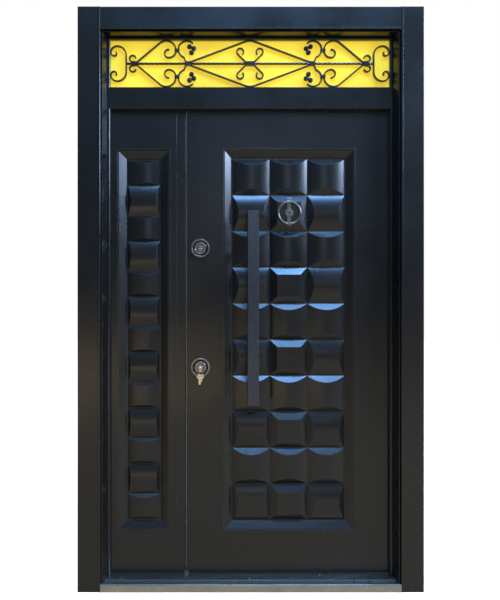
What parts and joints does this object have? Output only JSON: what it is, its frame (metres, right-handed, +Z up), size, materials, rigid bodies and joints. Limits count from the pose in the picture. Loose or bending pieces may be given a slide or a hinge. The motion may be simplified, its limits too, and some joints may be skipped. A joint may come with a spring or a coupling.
{
  "type": "steel entrance door",
  "caption": "Leaf-and-a-half steel entrance door with embossed panels, pull bar, ring knocker and a grilled transom over a stainless threshold.",
  "frame": {"origin": "on the floor, mid-width, in the plane of the outer wall face", "axes": "+X to the right seen from outside, +Y into the building, +Z up"},
  "size_m": [1.5, 0.188, 2.535],
  "materials": {
    "frame_paint": "satin powder coat, fine texture",
    "casing_paint": "satin powder coat, fine texture",
    "leaf_paint": "satin powder coat, fine texture",
    "handle_paint": "satin powder coat",
    "hinge_paint": "satin powder coat",
    "wrought_iron": "black iron paint",
    "stainless": "brushed along its length",
    "satin_steel": "satin nickel plate",
    "nickel": "polished nickel plate",
    "brass": "worn key brass",
    "rubber_seal": "matt extruded rubber",
    "transom_glass": "yellow tinted pane"
  },
  "bodies": {
    "frame": {"casing_left": "casing_paint", "casing_right": "casing_paint", "casing_top": "casing_paint", "jamb_left": "frame_paint", "jamb_right": "frame_paint", "frame_head": "frame_paint", "transom_bar": "frame_paint", "threshold": "stainless", "stop_gasket": "rubber_seal", "glazing_tape": "rubber_seal", "transom_glass": "transom_glass", "glazing_beads": "frame_paint", "grille_bar": "wrought_iron", "grille_scrolls": "wrought_iron", "grille_clusters": "wrought_iron", "narrow_frame_hinges": "hinge_paint", "active_frame_hinges": "hinge_paint"},
    "narrow_leaf": {"narrow_core": "leaf_paint", "narrow_outer_sheet": "leaf_paint", "narrow_inner_sheet": "leaf_paint", "narrow_panel": "leaf_paint", "narrow_moulding": "leaf_paint", "meeting_strip": "leaf_paint", "narrow_bottom_seal": "rubber_seal", "narrow_leaf_hinges": "hinge_paint", "strike_plate": "satin_steel", "flush_bolts": "satin_steel"},
    "active_leaf": {"active_core": "leaf_paint", "active_outer_sheet": "leaf_paint", "active_inner_sheet": "leaf_paint", "active_panel": "leaf_paint", "active_moulding": "leaf_paint", "active_bottom_seal": "rubber_seal", "active_leaf_hinges": "hinge_paint", "lock_faceplate": "satin_steel", "pull_bar": "handle_paint", "pull_standoffs": "handle_paint", "upper_rose": "satin_steel", "lower_rose": "satin_steel", "upper_cylinder": "nickel", "lower_cylinder": "nickel", "key": "nickel", "key_ring": "nickel", "spare_keys": "brass", "knocker_base": "satin_steel", "viewer": "satin_steel", "inner_lock_plate": "satin_steel", "inner_lever": "satin_steel"},
    "knocker_ring": {"knocker_ring": "nickel"}
  },
  "joints": [
    {"name": "narrow_leaf_hinge", "type": "hinge", "parent": "frame", "child": "narrow_leaf", "pos_m": [-0.634, 0.139, 1], "axis": [0, 0, 1], "range_deg": [0, 100]},
    {"name": "active_leaf_hinge", "type": "hinge", "parent": "frame", "child": "active_leaf", "pos_m": [0.634, 0.139, 1], "axis": [0, 0, -1], "range_deg": [0, 100]},
    {"name": "knocker_hinge", "type": "hinge", "parent": "active_leaf", "child": "knocker_ring", "pos_m": [0.175, 0.045, 1.7096], "axis": [-1, 0, 0], "range_deg": [0, 60]}
  ]
}
